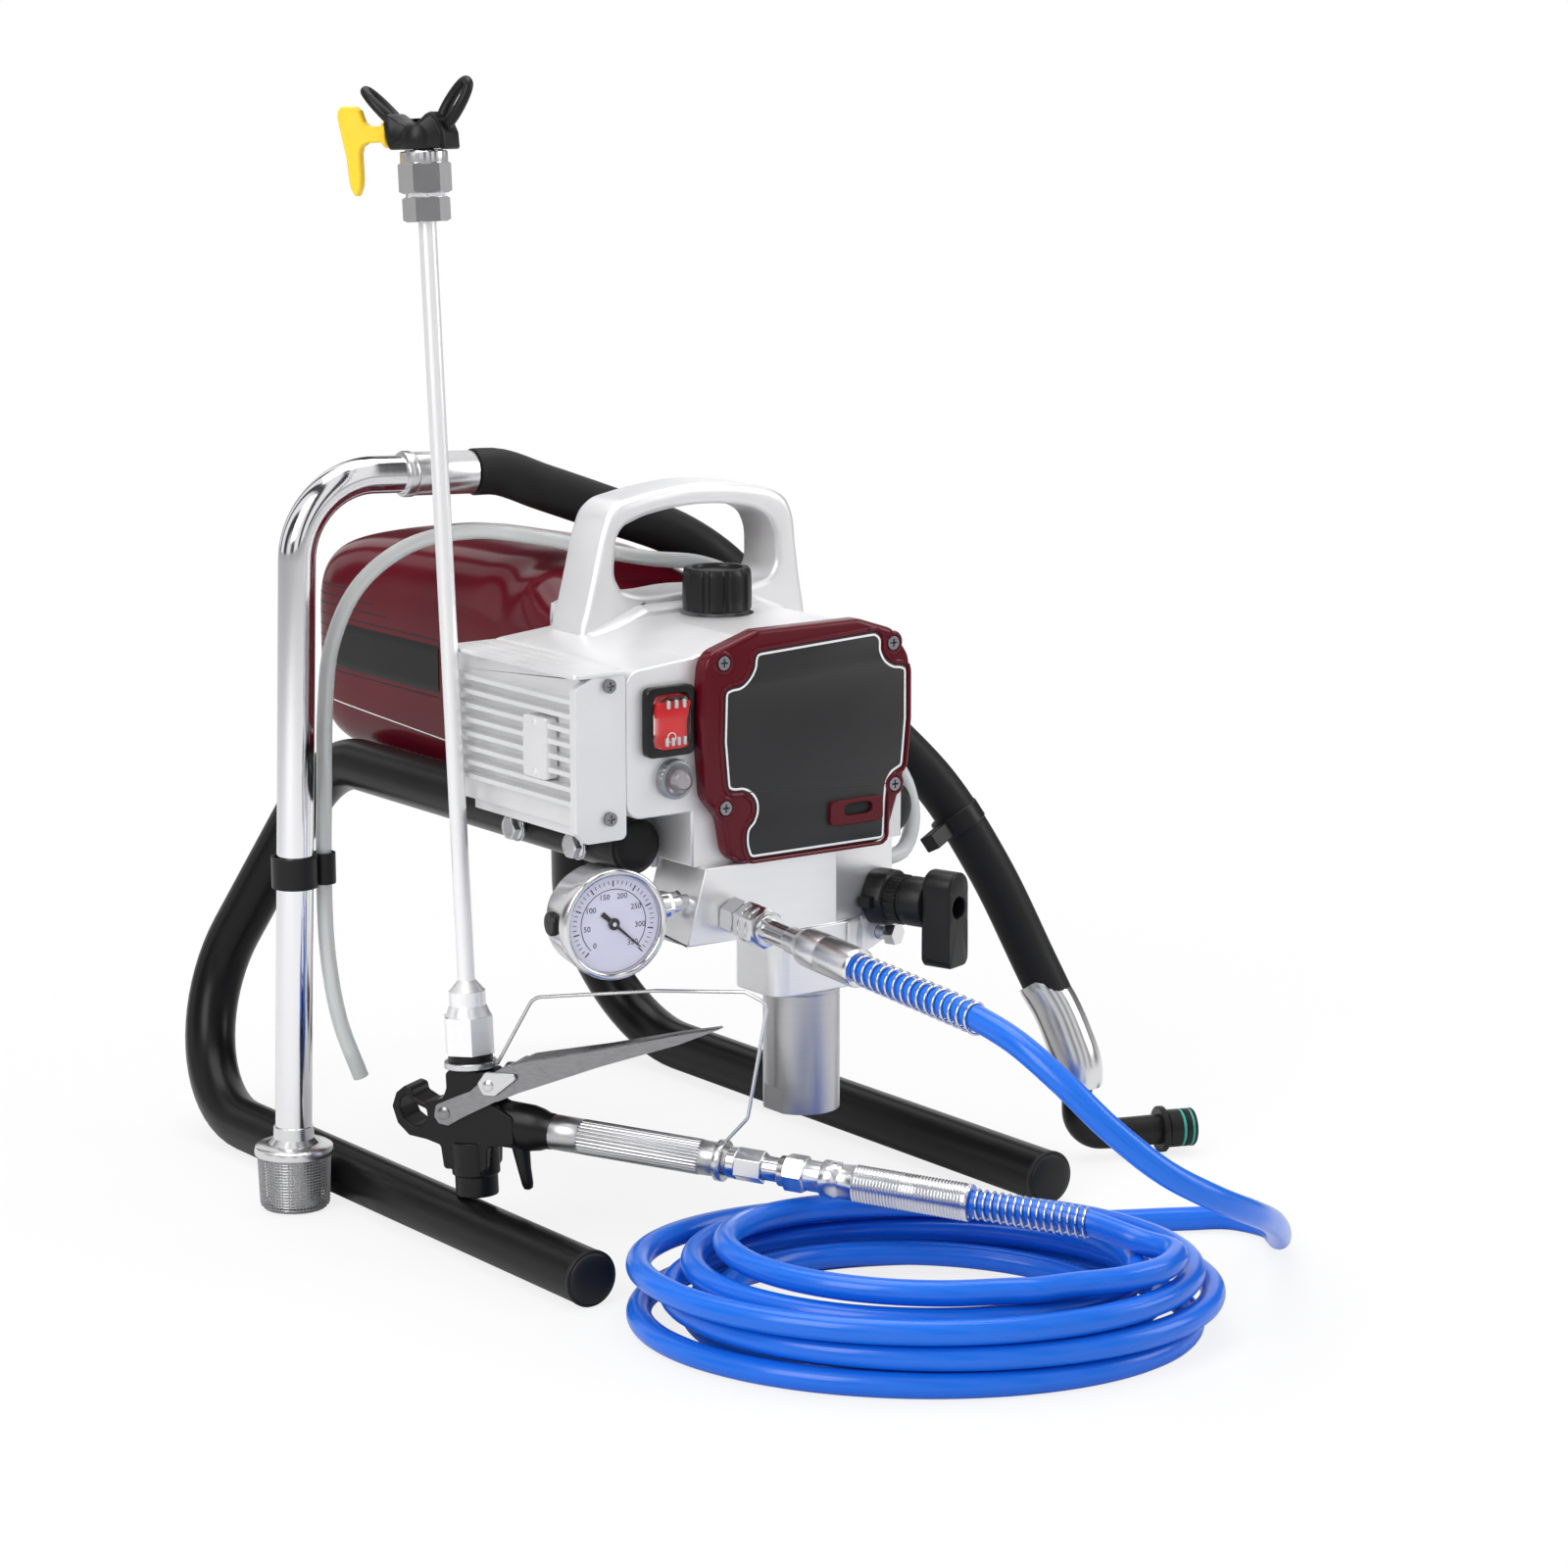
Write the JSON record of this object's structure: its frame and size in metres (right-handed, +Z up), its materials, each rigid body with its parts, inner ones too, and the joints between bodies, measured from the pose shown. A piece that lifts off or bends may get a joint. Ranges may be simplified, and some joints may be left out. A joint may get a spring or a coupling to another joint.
{
  "type": "airless paint sprayer",
  "caption": "Stand-mounted electric airless paint sprayer with piston pump, gauge, suction set, coiled blue hose and a spray gun on an extension pole.",
  "frame": {"origin": "on the floor, under the middle of the machine and the gun without the loose hoses", "axes": "+Z up, -Y out of the front cover, +X to the right as seen from the front"},
  "size_m": [0.5433, 0.7936, 0.6723],
  "materials": {
    "skid_black": "satin powder coat",
    "black_plastic": "matt",
    "bolt_steel": "bright",
    "cast_aluminium": "fine cast",
    "maroon_gloss": "gloss",
    "charcoal_plate": "satin",
    "machined_aluminium": "satin",
    "board_green": "matt",
    "gloss_black": "gloss",
    "rocker_red": "gloss",
    "nut_grey": "satin",
    "button_clear": "gloss",
    "steel": "machined",
    "copper_rotor": "satin",
    "chrome": "polished",
    "dial_white": "satin",
    "needle_black": "satin",
    "clear_lens": "clear",
    "hose_blue": "gloss",
    "gun_black": "satin",
    "stamped_steel": "stamped",
    "tip_yellow": "satin",
    "mesh_steel": "wire mesh",
    "rubber_black": "satin",
    "milky_tube": "translucent",
    "pole_steel": "polished"
  },
  "bodies": {
    "machine": {"left_skid": "skid_black", "right_skid": "skid_black", "skid_caps": "black_plastic", "mounting_bolts": "bolt_steel", "drive_housing": "cast_aluminium", "front_cover": "maroon_gloss", "cover_plate": "charcoal_plate", "housing_screws": "bolt_steel", "oil_port": "maroon_gloss", "control_box": "machined_aluminium", "circuit_board": "board_green", "switch_bezel": "gloss_black", "breaker_body": "nut_grey", "knob_bushing": "chrome", "motor_cover": "maroon_gloss", "motor_can": "steel", "fluid_manifold": "machined_aluminium", "pump_cylinder": "machined_aluminium", "gauge_case": "chrome", "gauge_dial": "dial_white", "gauge_lens": "clear_lens", "prime_valve_body": "black_plastic", "drain_fitting": "chrome", "outlet_fitting": "chrome", "hose_swivel_machine": "chrome", "hose_spring_machine": "chrome", "hose_run": "hose_blue", "hose_coil": "hose_blue", "hose_lead": "hose_blue", "hose_spring_gun": "chrome", "hose_swivel_gun": "chrome", "gun_body": "gun_black", "gun_handle": "machined_aluminium", "trigger_guard": "bolt_steel", "extension_pole": "pole_steel", "tip_nut": "machined_aluminium", "suction_tube": "pole_steel", "strainer": "mesh_steel", "suction_hose": "rubber_black", "suction_elbow": "black_plastic", "hose_clips": "black_plastic", "return_tube": "milky_tube"},
    "pressure_knob": {"pressure_knob": "black_plastic"},
    "switch_rocker": {"switch_rocker": "rocker_red"},
    "breaker_button": {"breaker_button": "button_clear"},
    "gauge_needle": {"gauge_needle": "needle_black"},
    "prime_lever": {"prime_lever": "black_plastic"},
    "gun_trigger": {"gun_trigger": "stamped_steel"},
    "trigger_lock": {"trigger_lock": "stamped_steel"},
    "gun_swivel": {"gun_swivel": "chrome"},
    "tip_guard": {"tip_guard": "black_plastic"},
    "spray_tip": {"spray_tip": "tip_yellow"},
    "crankshaft": {"crankshaft": "steel", "drive_gear": "steel"},
    "motor_rotor": {"motor_rotor": "copper_rotor", "motor_fan": "black_plastic", "pinion_gear": "steel"},
    "piston_rod": {"piston_rod": "steel"},
    "inlet_ball": {"inlet_ball": "chrome"}
  },
  "joints": [
    {"name": "pressure_knob_turn", "type": "hinge", "parent": "machine", "child": "pressure_knob", "pos_m": [0.0225, -0.1143, 0.375], "axis": [0, 0, 1], "range_deg": [-135, 135]},
    {"name": "switch_rocker_tilt", "type": "hinge", "parent": "machine", "child": "switch_rocker", "pos_m": [-0.0695, -0.1893, 0.3195], "axis": [1, 0, 0], "range_deg": [-16, 0]},
    {"name": "breaker_button_press", "type": "slide", "parent": "machine", "child": "breaker_button", "axis": [0, 1, 0], "range_m": [0, 0.002], "stiffness_N_per_m": 400},
    {"name": "gauge_needle_turn", "type": "hinge", "parent": "machine", "child": "gauge_needle", "pos_m": [-0.1161, -0.2123, 0.2117], "axis": [-0.165, -0.9863, 0], "range_deg": [0, 267]},
    {"name": "prime_lever_turn", "type": "hinge", "parent": "machine", "child": "prime_lever", "pos_m": [0.0835, -0.1886, 0.198], "axis": [0.309, -0.9511, 0], "range_deg": [0, 90]},
    {"name": "trigger_pull", "type": "hinge", "parent": "machine", "child": "gun_trigger", "pos_m": [-0.14262, -0.08114, 0.08187], "axis": [0.848, 0.5287, -0.036], "range_deg": [0, 12], "stiffness_Nm_per_rad": 4, "springref_deg": -8.59},
    {"name": "trigger_lock_flip", "type": "hinge", "parent": "machine", "child": "trigger_lock", "pos_m": [-0.12646, -0.10573, 0.10148], "axis": [-0.848, -0.5287, 0.036], "range_deg": [0, 90]},
    {"name": "gun_swivel_spin", "type": "hinge", "parent": "machine", "child": "gun_swivel", "pos_m": [-0.05123, -0.22865, 0.06854], "axis": [0.5265, -0.8483, -0.0556], "continuous": true},
    {"name": "tip_guard_turn", "type": "hinge", "parent": "machine", "child": "tip_guard", "pos_m": [-0.136, -0.05365, 0.64099], "axis": [0, 0.068, 0.9977], "range_deg": [-90, 90]},
    {"name": "spray_tip_reverse", "type": "hinge", "parent": "tip_guard", "child": "spray_tip", "pos_m": [-0.136, -0.05365, 0.64099], "axis": [0.5299, -0.8461, 0.0577], "range_deg": [0, 180]},
    {"name": "crank_spin", "type": "hinge", "parent": "machine", "child": "crankshaft", "pos_m": [0.0365, -0.1323, 0.275], "axis": [0, 1, 0], "continuous": true},
    {"name": "motor_spin", "type": "hinge", "parent": "machine", "child": "motor_rotor", "pos_m": [0.0225, -0.0223, 0.3138], "axis": [0, 1, 0], "continuous": true},
    {"name": "piston_stroke", "type": "slide", "parent": "machine", "child": "piston_rod", "axis": [0, 0, 1], "range_m": [-0.008, 0.008]},
    {"name": "inlet_ball_lift", "type": "slide", "parent": "machine", "child": "inlet_ball", "axis": [0, 0, 1], "range_m": [0, 0.003]}
  ],
  "couplings": [
    {"joint": "motor_spin", "follows": "crank_spin", "ratio": -4.0769}
  ]
}
